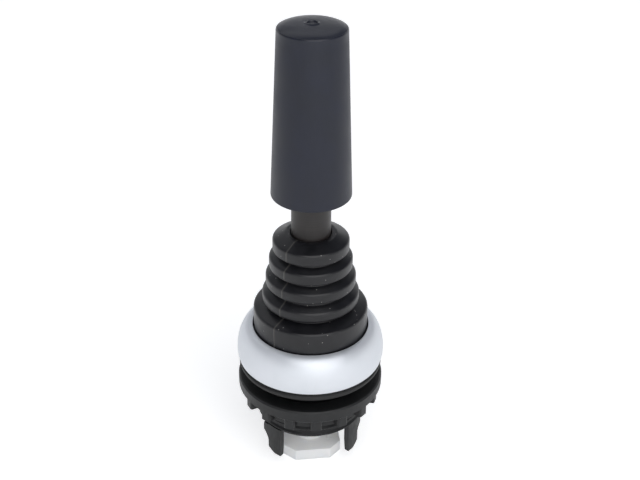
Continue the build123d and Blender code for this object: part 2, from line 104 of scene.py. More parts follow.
# Floor and backdrop.
# White matt board that runs from under the joystick up into a low curved wall all round it, so that
# the view is white at every angle. The camera and reflections see it lit; the studio above it is dim.
floor_height = cad_box[0][2]
floor_radius = 1.1
sweep_radius = 0.35
wall_top = 0.42


def linear(hex_colour):
    """sRGB hex to linear RGBA: c/12.92 below 0.04045, else ((c + 0.055)/1.055)^2.4, for each channel."""
    srgb = np.array([int(hex_colour[i : i + 2], 16) / 255 for i in (1, 3, 5)])
    return (*np.where(srgb <= 0.04045, srgb / 12.92, ((srgb + 0.055) / 1.055) ** 2.4), 1.0)


def add(tree, kind, sockets=None, ramp=(), **settings):
    """Adds a shader node. A socket takes a number, a colour or another socket; ramp is a colour ramp's
    (place, colour) stops, from two to as many as it needs; settings are the node's own properties."""
    made = tree.nodes.new("ShaderNode" + kind)
    for name, value in settings.items():
        setattr(made, name, value)
    for name, value in (sockets or {}).items():
        if isinstance(value, bpy.types.NodeSocket):
            tree.links.new(value, made.inputs[name])
        else:
            made.inputs[name].default_value = value
    for i, (place, colour) in enumerate(ramp):
        stop = made.color_ramp.elements[i] if i < 2 else made.color_ramp.elements.new(place)
        stop.position = place
        stop.color = colour
    return made


def surface(name, points, wrap_rows=False, wrap_columns=False):
    """A mesh from a rows by columns grid of points in metres: point i, j is joined by quads to i + 1, j
    and i, j + 1, and the last row or column to the first where it wraps."""
    rows, columns = points.shape[:2]
    i = np.arange(rows if wrap_rows else rows - 1)[:, None]
    j = np.arange(columns if wrap_columns else columns - 1)[None, :]
    a = i * columns + j
    b = i * columns + (j + 1) % columns
    c = (i + 1) % rows * columns + (j + 1) % columns
    d = (i + 1) % rows * columns + j
    quads = np.stack([a, b, c, d], axis=-1).reshape(-1, 4)
    mesh = bpy.data.meshes.new(name)
    mesh.from_pydata(points.reshape(-1, 3), [], quads)
    mesh.shade_smooth()
    made = bpy.data.objects.new(name, mesh)
    scene.collection.objects.link(made)
    return made


def turned(r, z, angle):
    """Points of a profile turned about Z: (r cos a, r sin a, z), one row for each angle a."""
    return np.stack([r * np.cos(angle), r * np.sin(angle), z + 0 * angle], axis=-1)


bend = np.linspace(0, math.pi / 2, 16)
sweep_foot = floor_radius - sweep_radius
sweep_r = np.concatenate([[0.0, 0.3], sweep_foot + sweep_radius * np.sin(bend), [floor_radius]])
sweep_z = np.concatenate([[0.0, 0.0], sweep_radius * (1 - np.cos(bend)), [wall_top]])
circle = np.linspace(0, 2 * math.pi, 96, endpoint=False)[:, None]
backdrop = surface("backdrop", turned(sweep_r, floor_height + sweep_z, circle), wrap_rows=True)

board = bpy.data.materials.new("white_matt_board")
board.use_nodes = True
tree = board.node_tree
tree.nodes.clear()
rays = add(tree, "LightPath")
seen = add(tree, "Math", {0: rays.outputs["Is Camera Ray"], 1: rays.outputs["Is Glossy Ray"]},
           operation="MAXIMUM")
seen = add(tree, "Math", {0: seen.outputs[0], 1: rays.outputs["Is Transmission Ray"]}, operation="MAXIMUM")
paint = add(tree, "BsdfDiffuse", {"Color": linear("#f2f2f2")})
glow = add(tree, "Emission", {"Color": linear("#ffffff"), "Strength": 0.5})
lit = add(tree, "AddShader", {0: paint.outputs[0], 1: glow.outputs[0]})
shown = add(tree, "MixShader", {0: seen.outputs[0], 1: paint.outputs[0], 2: lit.outputs[0]})
add(tree, "OutputMaterial", {"Surface": shown.outputs[0]})
backdrop.data.materials.append(board)


# Studio light.
# One large soft box in front and above, a weak one behind that lights the backs of the grip's dome and
# of the folds, a fainter one at the left, and a dim room. Nothing hangs overhead: the dome's front is dark.
world = bpy.data.worlds.new("dim_studio")
scene.world = world
world.use_nodes = True
world.node_tree.nodes["Background"].inputs["Color"].default_value = linear("#dae3f6")
world.node_tree.nodes["Background"].inputs["Strength"].default_value = 0.16


def soft_box(name, azimuth, elevation, distance, width, height, watts):
    """A rectangular lamp that faces the lever's middle. Azimuth 0 is the front (-Y) and 90 is +X."""
    a, e = math.radians(azimuth), math.radians(elevation)
    towards = np.array([math.sin(a) * math.cos(e), -math.cos(a) * math.cos(e), math.sin(e)])
    lamp_data = bpy.data.lights.new(name, "AREA")
    lamp_data.shape = "RECTANGLE"
    lamp_data.size = width
    lamp_data.size_y = height
    lamp_data.energy = watts
    lamp = bpy.data.objects.new(name, lamp_data)
    lamp.location = np.array([0.0, 0.0, aim_height]) + towards * distance
    lamp.rotation_euler = (math.pi / 2 - e, 0.0, a)
    scene.collection.objects.link(lamp)


soft_box("key_box", 8, 40, 1.0, 1.1, 1.4, 10.5)
soft_box("back_box", 185, 50, 1.0, 1.0, 0.6, 1.4)
soft_box("left_box", -105, 35, 1.0, 0.8, 0.8, 0.3)


# Moulded body and the clamp ring of the boot.
# Black glass-filled polyamide, injection moulded in a spark-eroded tool. The body's neck carries the
# panel nut's thread, which stops at its shoulder, runs out at its end and is cut by the pivot pin holes.
mm = 0.001
neck_r = 11.0
thread_depth = 0.35
thread_pitch = 1.5
thread_top = -2.9
thread_end = -12.1
thread_sink = 0.08  # into the neck
thread_half_foot = 0.36  # of the pitch
thread_half_crest = 0.07
pin_height = -9.8
pin_clear = 1.9  # from the pin's axis to the middle of the ridge
pin_dip = 0.7


def start_material(name):
    """A new material, its node tree, its Object coordinates in millimetres and its Principled shader."""
    made = bpy.data.materials.new(name)
    made.use_nodes = True
    made.node_tree.nodes.clear()
    coordinates = add(made.node_tree, "TexCoord").outputs["Object"]
    place = add(made.node_tree, "Mapping", {"Vector": coordinates, "Scale": (1000, 1000, 1000)}).outputs[0]
    shader = add(made.node_tree, "BsdfPrincipled")
    add(made.node_tree, "OutputMaterial", {"Surface": shader.outputs[0]})
    return made, made.node_tree, place, shader


def feed(tree, shader, colour, roughness, skin=None):
    """Links the colour, the roughness and, where there is one, the surface's bump to the shader."""
    tree.links.new(colour, shader.inputs["Base Color"])
    tree.links.new(roughness, shader.inputs["Roughness"])
    if skin:
        tree.links.new(skin.outputs[0], shader.inputs["Normal"])


def dress(material, *names):
    """Gives CAD nodes one material."""
    for name in names:
        nodes[name].data.materials.clear()
        nodes[name].data.materials.append(material)


# Moulded glass-filled polyamide: the short fibres mottle the black a little and leave it half matt, and
# the tool's spark-eroded skin breaks up reflections. Its 0.05 mm grain is drawn 0.3 mm wide to show.
polyamide, tree, place, shader = start_material("moulded_glass_filled_polyamide")
mottle = add(tree, "TexNoise", {"Vector": place, "Scale": 0.5, "Detail": 5.0, "Roughness": 0.6})
tone = add(tree, "ValToRGB", {"Fac": mottle.outputs["Fac"]},
           ramp=[(0.3, linear("#0e0f10")), (0.7, linear("#151617"))])
flow = add(tree, "Mapping", {"Vector": place, "Scale": (1.0, 1.0, 0.25)})
fibres = add(tree, "TexNoise", {"Vector": flow.outputs[0], "Scale": 2.2, "Detail": 3.0})
matt = add(tree, "MapRange", {"Value": fibres.outputs["Fac"], "From Min": 0.3, "From Max": 0.7,
                              "To Min": 0.44, "To Max": 0.58})
grain = add(tree, "TexNoise", {"Vector": place, "Scale": 3.3, "Detail": 2.0})
skin = add(tree, "Bump", {"Height": grain.outputs["Fac"], "Strength": 0.25, "Distance": 0.00003})
feed(tree, shader, tone.outputs["Color"], matt.outputs[0], skin)
shader.inputs["Specular IOR Level"].default_value = 0.36
dress(polyamide, "operator_body", "boot_clamp_ring")


def close_ends(made):
    """Fills the open ends of a swept piece and turns its faces outwards."""
    shell = bmesh.new()
    shell.from_mesh(made.data)
    rims = [edge for edge in shell.edges if edge.is_boundary]
    bmesh.ops.holes_fill(shell, edges=rims, sides=0)
    bmesh.ops.recalc_face_normals(shell, faces=shell.faces)
    shell.to_mesh(made.data)
    shell.free()


def thread_ridge(name, root_r, depth, pitch, top, end):
    """A helical ridge of trapezoid section: round the angle a its middle height is top - pitch a/(2 pi). It
    fades as a smoothstep over a quarter turn at both ends, and dips into the wall near the pin holes."""
    turns = (top - end) / pitch
    a = np.linspace(0, 2 * math.pi * turns, int(120 * turns))[:, None]
    middle = top - pitch * a / (2 * math.pi)
    ends = np.clip(np.minimum(a, a[-1] - a) / (math.pi / 2), 0, 1)
    sideways = np.where(np.abs(np.cos(a)) > 0.5, np.abs(np.sin(a)) * root_r, root_r)
    clear = np.clip((np.hypot(sideways, middle - pin_height) - pin_clear) / 0.5, 0, 1)
    high = (depth + thread_sink) * ends**2 * (3 - 2 * ends) * clear
    crest = np.array([[0, 1, 1, 0]])
    r = root_r - thread_sink + high * crest - pin_dip * (1 - clear)
    half = np.array([[thread_half_foot, thread_half_crest]])
    z = middle + pitch * np.concatenate([half, -half[:, ::-1]], axis=1)
    points = np.stack([r * np.cos(a), r * np.sin(a), z], axis=-1)
    made = surface(name, points * mm, wrap_columns=True)
    close_ends(made)
    made.data.shade_flat()
    return made


neck_thread = thread_ridge("neck_thread", neck_r - thread_depth, thread_depth, thread_pitch,
                           thread_top, thread_end)
neck_thread.data.materials.append(polyamide)
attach(neck_thread, "housing")


# Gimbal.
# A die-cast zinc ring turns on two ground steel pins in the neck, and the lever's hub turns on a third
# pin that is pressed across the ring.

# Die-cast zinc: grey skin with soft cloudy patches from the melt and a faint orange peel.
zinc, tree, place, shader = start_material("die_cast_zinc")
cloud = add(tree, "TexNoise", {"Vector": place, "Scale": 0.6, "Detail": 4.0})
tone = add(tree, "ValToRGB", {"Fac": cloud.outputs["Fac"]},
           ramp=[(0.3, linear("#a9acae")), (0.7, linear("#c2c4c5"))])
peel = add(tree, "TexNoise", {"Vector": place, "Scale": 2.5, "Detail": 3.0})
matt = add(tree, "MapRange", {"Value": peel.outputs["Fac"], "To Min": 0.32, "To Max": 0.52})
skin = add(tree, "Bump", {"Height": peel.outputs["Fac"], "Strength": 0.3, "Distance": 0.00004})
feed(tree, shader, tone.outputs["Color"], matt.outputs[0], skin)
shader.inputs["Metallic"].default_value = 1.0
dress(zinc, "gimbal_ring")


def ground_steel(name, stretch):
    """Ground steel: bright, with fine hoops left by the wheel round the pin's own axis. stretch is the
    pattern's scale along X, Y and Z, large along the pin. The 0.02 mm hoops are drawn 0.2 mm wide."""
    made, tree, place, shader = start_material(name)
    hoops = add(tree, "Mapping", {"Vector": place, "Scale": stretch})
    lines = add(tree, "TexNoise", {"Vector": hoops.outputs[0], "Scale": 1.0, "Detail": 3.0})
    tone = add(tree, "ValToRGB", {"Fac": lines.outputs["Fac"]},
               ramp=[(0.3, linear("#b9babc")), (0.7, linear("#d2d3d4"))])
    matt = add(tree, "MapRange", {"Value": lines.outputs["Fac"], "To Min": 0.18, "To Max": 0.34})
    skin = add(tree, "Bump", {"Height": lines.outputs["Fac"], "Strength": 0.2, "Distance": 0.00002})
    feed(tree, shader, tone.outputs["Color"], matt.outputs[0], skin)
    shader.inputs["Metallic"].default_value = 1.0
    return made


dress(ground_steel("ground_steel_pivot_pins", (5.0, 0.1, 0.1)), "gimbal_pivot_pins")
dress(ground_steel("ground_steel_cross_pin", (0.1, 5.0, 0.1)), "cross_pin")


# Lever core.
# A ground steel rod pressed through a barrel-shaped hub, with the spring cap above it, the sleeve over
# its upper end and the grip screwed on top. Hub and spring cap are turned from natural acetal.
dress(ground_steel("ground_steel_rod", (0.1, 0.1, 5.0)), "lever_rod")

# Turned natural acetal: milky and slightly see-through, waxy, with faint tool rings 0.15 mm apart.
natural_acetal, tree, place, shader = start_material("turned_natural_acetal")
hoops = add(tree, "Mapping", {"Vector": place, "Scale": (0.15, 0.15, 6.0)})
rings = add(tree, "TexNoise", {"Vector": hoops.outputs[0], "Scale": 1.0, "Detail": 2.0})
cloud = add(tree, "TexNoise", {"Vector": place, "Scale": 0.4, "Detail": 3.0})
tone = add(tree, "ValToRGB", {"Fac": cloud.outputs["Fac"]},
           ramp=[(0.3, linear("#e4e1d6")), (0.7, linear("#eeece3"))])
matt = add(tree, "MapRange", {"Value": rings.outputs["Fac"], "To Min": 0.32, "To Max": 0.46})
skin = add(tree, "Bump", {"Height": rings.outputs["Fac"], "Strength": 0.2, "Distance": 0.00003})
feed(tree, shader, tone.outputs["Color"], matt.outputs[0], skin)
shader.inputs["Subsurface Weight"].default_value = 0.15
shader.inputs["Subsurface Radius"].default_value = (0.001, 0.0009, 0.0008)
dress(natural_acetal, "lever_hub", "spring_cap")


# Gate, spring and its washer.
# The gate and the washer are blanked from zinc-plated sheet, and the spring is coiled from drawn wire. Its
# first turn sits on the washer and its last under the cap.

# Zinc plate over sheet steel: a cold silver with a faint bluish and yellowish haze from its passivation.
zinc_plate, tree, place, shader = start_material("passivated_zinc_plate")
haze = add(tree, "TexNoise", {"Vector": place, "Scale": 0.35, "Detail": 4.0})
tone = add(tree, "ValToRGB", {"Fac": haze.outputs["Fac"]},
           ramp=[(0.3, linear("#b4bac2")), (0.55, linear("#c6c8ca")), (0.75, linear("#cdc9b8"))])
spangle = add(tree, "TexVoronoi", {"Vector": place, "Scale": 1.4})
matt = add(tree, "MapRange", {"Value": spangle.outputs["Distance"], "To Min": 0.28, "To Max": 0.42})
grain = add(tree, "TexNoise", {"Vector": place, "Scale": 4.0, "Detail": 2.0})
skin = add(tree, "Bump", {"Height": grain.outputs["Fac"], "Strength": 0.2, "Distance": 0.00002})
feed(tree, shader, tone.outputs["Color"], matt.outputs[0], skin)
shader.inputs["Metallic"].default_value = 1.0
dress(zinc_plate, "travel_gate", "spring_seat_washer", "grip_lock_nut", "actuator_nut")

# Drawn spring wire: darker grey, with a thin film of die lubricant that varies its gloss.
spring_wire, tree, place, shader = start_material("drawn_spring_wire")
film = add(tree, "TexNoise", {"Vector": place, "Scale": 1.2, "Detail": 3.0})
tone = add(tree, "ValToRGB", {"Fac": film.outputs["Fac"]},
           ramp=[(0.3, linear("#7d7f82")), (0.7, linear("#9a9b9c"))])
matt = add(tree, "MapRange", {"Value": film.outputs["Fac"], "To Min": 0.24, "To Max": 0.4})
feed(tree, shader, tone.outputs["Color"], matt.outputs[0])
shader.inputs["Metallic"].default_value = 1.0
dress(spring_wire, "actuator_lock_washer")

wire_r = 0.4
spring_low, spring_high = (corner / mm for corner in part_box("return_spring"))
coil_foot = spring_low[2] + wire_r
coil_h = spring_high[2] - wire_r - coil_foot
coil_r = (spring_high[1] - spring_low[1]) / 2 - wire_r
coil_turns = 4
wire_angle = np.linspace(0, 2 * math.pi, 12, endpoint=False)[None, :]


def half_coil(name, first_turn):
    """Half of the spring, a round wire swept on a helix: (R + w cos b) round the angle a, at the height
    foot + height a/(2 pi turns) + w sin b."""
    a = 2 * math.pi * np.linspace(first_turn, first_turn + coil_turns / 2, 145)[:, None]
    r = coil_r + wire_r * np.cos(wire_angle)
    z = coil_foot + coil_h * a / (2 * math.pi * coil_turns) + wire_r * np.sin(wire_angle)
    made = surface(name, np.stack([r * np.cos(a), r * np.sin(a), z], axis=-1) * mm, wrap_columns=True)
    close_ends(made)
    made.data.materials.append(spring_wire)
    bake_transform(made)
    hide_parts("return_spring")


half_coil("spring_lower_turns", 0)
half_coil("spring_upper_turns", coil_turns / 2)


# Panel gasket.
# A moulded ring of black rubber under the front ring, with a rounded bead that the panel squeezes and a
# narrow groove above it. It replaces the plain ring of the frame.
gasket_outer = 14.5
gasket_top = 1.85
gasket_lip_r = 10.65
gasket_bore = 11.05
gasket_lip_foot = 0.1


def rounded(points, rounds, steps=6):
    """A closed outline whose corners are cut by quadratic curves: on each it is
    (1 - t)^2 a + 2t(1 - t) corner + t^2 b, with a and b a rounding distance away along the two sides."""
    corner = np.asarray(points, dtype=float)
    to_last = np.roll(corner, 1, axis=0) - corner
    to_next = np.roll(corner, -1, axis=0) - corner
    reach = np.asarray(rounds, dtype=float)[:, None]
    a = corner + to_last / np.linalg.norm(to_last, axis=1)[:, None] * reach
    b = corner + to_next / np.linalg.norm(to_next, axis=1)[:, None] * reach
    t = np.linspace(0, 1, steps)[None, :, None]
    curve = (1 - t) ** 2 * a[:, None] + 2 * t * (1 - t) * corner[:, None] + t**2 * b[:, None]
    return curve.reshape(-1, 2)


gasket_points = [
    (gasket_bore, 0.0),
    (gasket_outer - 0.3, 0.0),
    (gasket_outer, 0.35),
    (gasket_outer, 0.95),
    (gasket_outer - 0.55, 1.3),
    (gasket_outer - 0.5, gasket_top),
    (gasket_lip_r, gasket_top),
    (gasket_lip_r, gasket_lip_foot),
    (gasket_bore, gasket_lip_foot),
]
gasket_rounds = [0.03, 0.15, 0.2, 0.2, 0.15, 0.08, 0.1, 0.1, 0.03]
fine_circle = np.linspace(0, 2 * math.pi, 180, endpoint=False)[:, None]
gasket_outline = rounded(gasket_points, gasket_rounds) * mm
gasket = surface("sealing_gasket", turned(gasket_outline[:, 0], gasket_outline[:, 1], fine_circle),
                 wrap_rows=True, wrap_columns=True)

# Moulded nitrile rubber: near black and matt, with a bloom of dust and talc in soft patches.
nitrile, tree, place, shader = start_material("moulded_nitrile_rubber")
bloom = add(tree, "TexNoise", {"Vector": place, "Scale": 0.7, "Detail": 5.0})
tone = add(tree, "ValToRGB", {"Fac": bloom.outputs["Fac"]},
           ramp=[(0.35, linear("#0c0c0d")), (0.8, linear("#171718"))])
matt = add(tree, "MapRange", {"Value": bloom.outputs["Fac"], "To Min": 0.5, "To Max": 0.75})
grain = add(tree, "TexNoise", {"Vector": place, "Scale": 4.0, "Detail": 2.0})
skin = add(tree, "Bump", {"Height": grain.outputs["Fac"], "Strength": 0.25, "Distance": 0.00003})
feed(tree, shader, tone.outputs["Color"], matt.outputs[0], skin)
shader.inputs["Specular IOR Level"].default_value = 0.46
gasket.data.materials.append(nitrile)
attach(gasket, "housing")
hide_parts("panel_gasket")


# Front ring.
# A plastic ring with an electroplated satin finish like titanium. It is pushed over the body's flange,
# and its inner lip holds the boot's clamp ring down.

# Satin plating: a fine blasted skin that spreads reflections wide, with faint smears from handling.
satin, tree, place, shader = start_material("satin_titanium_plating")
smear = add(tree, "TexNoise", {"Vector": place, "Scale": 0.16, "Detail": 4.0, "Distortion": 0.6})
tone = add(tree, "ValToRGB", {"Fac": smear.outputs["Fac"]},
           ramp=[(0.3, linear("#d9dde2")), (0.7, linear("#dfe2e7"))])
matt = add(tree, "MapRange", {"Value": smear.outputs["Fac"], "From Min": 0.3, "From Max": 0.7,
                              "To Min": 0.44, "To Max": 0.52})
grain = add(tree, "TexNoise", {"Vector": place, "Scale": 5.0, "Detail": 2.0})
skin = add(tree, "Bump", {"Height": grain.outputs["Fac"], "Strength": 0.06, "Distance": 0.00002})
feed(tree, shader, tone.outputs["Color"], matt.outputs[0], skin)
shader.inputs["Metallic"].default_value = 0.6
dress(satin, "bezel_ring")


# Boot.
# One moulding of soft black rubber: a clamped foot, a straight base, four folds that shrink upwards, and a
# beaded neck in the sleeve's groove. It is drawn as two shells, the base with the first fold and the folds
# above, which meet below the second fold, one tucked under the other.
boot_low, boot_high = (corner[2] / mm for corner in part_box("bellows"))
boot_foot_r = 12.3
boot_foot_t = 1.2
boot_r = 11.4
boot_wall = 0.6
boot_base_top = boot_low + 8.3
fold_radii = np.linspace(9.6, 7.5, 4)
fold_heights = boot_base_top + 2.6 + 3.84 * np.arange(4)
fold_faces = 1.8 + 0.15 * np.arange(4)
fold_depth = 1.4
crown_r = 4.95
neck_bore_r = 4.05
bead_bore_r = 3.6
bead_top = boot_high - 0.8
bead_foot = bead_top - 1.2
rim_foot_round = 0.35
rim_top_round = 0.38
base_top_round = 0.48
valley_round = 0.5
parting_angle = math.radians(45.0)
parting_width = 0.16
parting_height = 0.06


def boot_shell(name, outline):
    """A closed outline of (radius, height) in mm swept round the axis, with a low ridge at the mould's
    two parting lines: radius + height exp(-(arc from the line/width)^2)."""
    coarse = np.linspace(0, 2 * math.pi, 144, endpoint=False)
    fine = np.linspace(-0.05, 0.05, 17) + np.array([[parting_angle], [parting_angle + math.pi]])
    angle = np.unique(np.round(np.concatenate([coarse, fine.ravel()]), 5))[:, None]
    r, z = outline.T
    arc = np.arcsin(np.sin(angle - parting_angle)) * r
    ridge = np.exp(-((arc / parting_width) ** 2))
    made = surface(name, turned(r + parting_height * ridge, z, angle) * mm,
                   wrap_rows=True, wrap_columns=True)
    line = made.data.attributes.new("parting_line", "FLOAT", "POINT")
    line.data.foreach_set("value", ridge.ravel().astype(np.float32))
    return made


lows = fold_heights - fold_faces / 2
highs = fold_heights + fold_faces / 2
valley_r = fold_radii - fold_depth
valley_share = np.array([0.5, 0.6, 0.58, 0.56])  # of the way up from the face below to the fold above
valley_z = np.concatenate([[boot_base_top], highs[:-1]]) * (1 - valley_share) + lows * valley_share
inner_half = (fold_faces - boot_wall) / 2
outer_folds = np.stack([[valley_r, valley_z], [fold_radii, lows], [fold_radii, highs]]).transpose(2, 0, 1)
inner_folds = np.stack([
    [valley_r - boot_wall, valley_z],
    [fold_radii - boot_wall, fold_heights - inner_half],
    [fold_radii - boot_wall, fold_heights + inner_half],
]).transpose(2, 0, 1)

# The shares are of the way from the first fold's rim down to the valley above it.
seam_outer_share = 0.76
seam_inner_share = 0.7
tuck_share = 0.45
seam_out = outer_folds[0, 2] * (1 - seam_outer_share) + outer_folds[1, 0] * seam_outer_share
seam_in = inner_folds[0, 2] * (1 - seam_inner_share) + inner_folds[1, 0] * seam_inner_share
lower_points = np.concatenate([
    [(boot_r - boot_wall, boot_low), (boot_foot_r, boot_low), (boot_foot_r, boot_low + boot_foot_t)],
    [(boot_r, boot_low + boot_foot_t), (boot_r, boot_base_top)],
    outer_folds[0],
    [seam_out, seam_in],
    inner_folds[0, ::-1],
    [(boot_r - boot_wall, boot_base_top - boot_wall)],
])
lower_rounds = [0.1, 0.1, 0.1, 0.1, base_top_round, valley_round, rim_foot_round, rim_top_round]
lower_rounds += [0.04, 0.04, 0.2, 0.2, 0.3, 0.3]
lower_boot = boot_shell("boot_lower", rounded(lower_points, lower_rounds))

tuck_out = outer_folds[0, 2] * (1 - tuck_share) + outer_folds[1, 0] * tuck_share - (0, 0.1)
tuck_in = tuck_out - (0, 0.2)
neck_points = [
    (crown_r, boot_high),
    (neck_bore_r, boot_high),
    (neck_bore_r, bead_top),
    (bead_bore_r, bead_top),
    (bead_bore_r, bead_foot),
    (crown_r, bead_foot),
    (crown_r, boot_high - 2 * boot_wall),
]
upper_points = np.concatenate([
    [tuck_in, tuck_out],
    outer_folds[1:].reshape(-1, 2),
    neck_points,
    inner_folds[:0:-1, ::-1].reshape(-1, 2),
])
upper_rounds = np.concatenate([
    [0.03, 0.03],
    np.tile([valley_round, rim_foot_round, rim_top_round], 3),
    [0.25, 0.1, 0.1, 0.1, 0.1, 0.1, 0.1],
    np.tile([0.2, 0.2, 0.3], 3),
])
upper_boot = boot_shell("boot_upper", rounded(upper_points, upper_rounds))

# Moulded soft rubber: black and satin, a little paler where dust clings, with a few pale specks of lint,
# and a slightly greyer line of flash where the mould parted. Specks of 0.15 mm are drawn 0.25 mm wide.
boot_rubber, tree, place, shader = start_material("moulded_soft_boot_rubber")
dust = add(tree, "TexNoise", {"Vector": place, "Scale": 0.45, "Detail": 6.0, "Roughness": 0.65})
tone = add(tree, "ValToRGB", {"Fac": dust.outputs["Fac"]},
           ramp=[(0.35, linear("#0b0b0f")), (0.75, linear("#131317"))])
flash = add(tree, "Attribute", attribute_name="parting_line")
line_share = add(tree, "Math", {0: flash.outputs["Fac"], 1: 0.5}, operation="MULTIPLY")
lined = add(tree, "Mix", {0: line_share.outputs[0], 6: tone.outputs["Color"], 7: linear("#55534f")},
            data_type="RGBA")
cells = add(tree, "TexVoronoi", {"Vector": place, "Scale": 1.1, "Randomness": 1.0})
near = add(tree, "Math", {0: cells.outputs["Distance"], 1: 0.1}, operation="LESS_THAN")
chance = add(tree, "SeparateColor", {"Color": cells.outputs["Color"]})
rare = add(tree, "Math", {0: chance.outputs[0], 1: 0.3}, operation="LESS_THAN")
speck = add(tree, "Math", {0: near.outputs[0], 1: rare.outputs[0]}, operation="MULTIPLY")
specked = add(tree, "Mix", {0: speck.outputs[0], 6: lined.outputs[2], 7: linear("#8b8985")},
              data_type="RGBA")
matt = add(tree, "MapRange", {"Value": dust.outputs["Fac"], "From Min": 0.3, "From Max": 0.7,
                              "To Min": 0.3, "To Max": 0.42})
grain = add(tree, "TexNoise", {"Vector": place, "Scale": 3.0, "Detail": 3.0})
skin = add(tree, "Bump", {"Height": grain.outputs["Fac"], "Strength": 0.25, "Distance": 0.00004})
feed(tree, shader, specked.outputs[2], matt.outputs[0], skin)
shader.inputs["Specular IOR Level"].default_value = 0.45
base_bend = (12.2, 17.6)  # low and high heights, paired with the lower shell in the loop below
fold_bend = (15.14, 28.2)
for shell, low_body, high_body, (low_height, high_height) in (
    (lower_boot, "housing", "gimbal", base_bend),
    (upper_boot, "gimbal", "lever", fold_bend),
):
    shell.data.materials.append(boot_rubber)
    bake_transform(shell)
    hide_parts("bellows")


# Shaft sleeve.
# A tube of dark acetal between the boot and the grip. The lock nut inside the grip clamps it against the
# rod's shoulder, and the boot's bead sits in its groove.

# Turned acetal: semi-gloss and brown-black, with fine hoops from the lathe tool. The 0.08 mm hoops are
# drawn 0.2 mm wide.
dark_acetal, tree, place, shader = start_material("turned_dark_acetal")
hoops = add(tree, "Mapping", {"Vector": place, "Scale": (0.08, 0.08, 4.5)})
rings = add(tree, "TexNoise", {"Vector": hoops.outputs[0], "Scale": 1.0, "Detail": 3.0})
tone = add(tree, "ValToRGB", {"Fac": rings.outputs["Fac"]},
           ramp=[(0.35, linear("#1e1b1a")), (0.7, linear("#272322"))])
matt = add(tree, "MapRange", {"Value": rings.outputs["Fac"], "From Min": 0.3, "From Max": 0.7,
                              "To Min": 0.38, "To Max": 0.5})
skin = add(tree, "Bump", {"Height": rings.outputs["Fac"], "Strength": 0.15, "Distance": 0.00003})
feed(tree, shader, tone.outputs["Color"], matt.outputs[0], skin)
shader.inputs["Specular IOR Level"].default_value = 0.48
dress(dark_acetal, "lever_sleeve")


# Grip and its insert.
# A tapered moulding of black thermoplastic on a turned brass insert. Its end is a low dome with a crisp
# rim, and the gate was cut off inside the small lipped recess at its middle.
grip_foot = 38.25
grip_shoulder_r = 6.42
grip_foot_r = 7.74
dome_top = 71.85
dome_bow = 0.35
dome_edge_drop = 0.55
nut_room_r = 4.1415
nut_room_top = 43.495
insert_bore_r = 3.01
insert_bore_top = 53.495
grip_shoulder = dome_top - dome_bow - dome_edge_drop
dome_steps = np.linspace(0.32, 0.95, 9)  # of the shoulder's radius
dome_heights = dome_top - dome_bow * dome_steps**2 - dome_edge_drop * dome_steps**6
dome_curve = np.stack([dome_steps * grip_shoulder_r, dome_heights], axis=1)
# From the axis outwards and back: the gate's recess, its lip, the dome, the tapered side, the room for the
# lock nut, and the insert's bore with its drilled end.
grip_points = np.concatenate([
    [(0.0, dome_top - 0.05), (0.6, dome_top - 0.05), (0.72, dome_top - 0.12), (0.92, dome_top - 0.12)],
    [(1.0, dome_top + 0.1), (1.12, dome_top + 0.12), (1.4, dome_top - 0.04)],
    dome_curve,
    [(grip_shoulder_r, grip_shoulder), (grip_foot_r, grip_foot), (nut_room_r, grip_foot)],
    [(nut_room_r, nut_room_top), (insert_bore_r, nut_room_top), (insert_bore_r, insert_bore_top)],
    [(2.1, insert_bore_top), (2.0, insert_bore_top + 1.5), (0.0, insert_bore_top + 2.7)],
])
grip_rounds = [0, 0.05, 0.06, 0.06, 0.06, 0.04, 0.04] + [0.15] * 9 + [0.25, 0.3, 0.1] + [0.05] * 5 + [0]
grip_outline = rounded(grip_points, grip_rounds) * mm
grip = surface("grip_moulding", turned(grip_outline[:, 0], grip_outline[:, 1], fine_circle), wrap_rows=True)
welded = bmesh.new()
welded.from_mesh(grip.data)
bmesh.ops.remove_doubles(welded, verts=welded.verts, dist=1e-8)
bmesh.ops.recalc_face_normals(welded, faces=welded.faces)
welded.to_mesh(grip.data)
welded.free()
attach(grip, "lever")
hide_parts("grip")

# Turned brass: warm yellow, with lathe hoops and darker tarnish in soft patches.
brass, tree, place, shader = start_material("turned_brass")
hoops = add(tree, "Mapping", {"Vector": place, "Scale": (0.1, 0.1, 5.0)})
rings = add(tree, "TexNoise", {"Vector": hoops.outputs[0], "Scale": 1.0, "Detail": 3.0})
tarnish = add(tree, "TexNoise", {"Vector": place, "Scale": 0.5, "Detail": 4.0})
tone = add(tree, "ValToRGB", {"Fac": tarnish.outputs["Fac"]},
           ramp=[(0.35, linear("#b58d4a")), (0.7, linear("#d8b56c"))])
matt = add(tree, "MapRange", {"Value": rings.outputs["Fac"], "To Min": 0.2, "To Max": 0.36})
skin = add(tree, "Bump", {"Height": rings.outputs["Fac"], "Strength": 0.2, "Distance": 0.00002})
feed(tree, shader, tone.outputs["Color"], matt.outputs[0], skin)
shader.inputs["Metallic"].default_value = 1.0
dress(brass, "grip_insert")

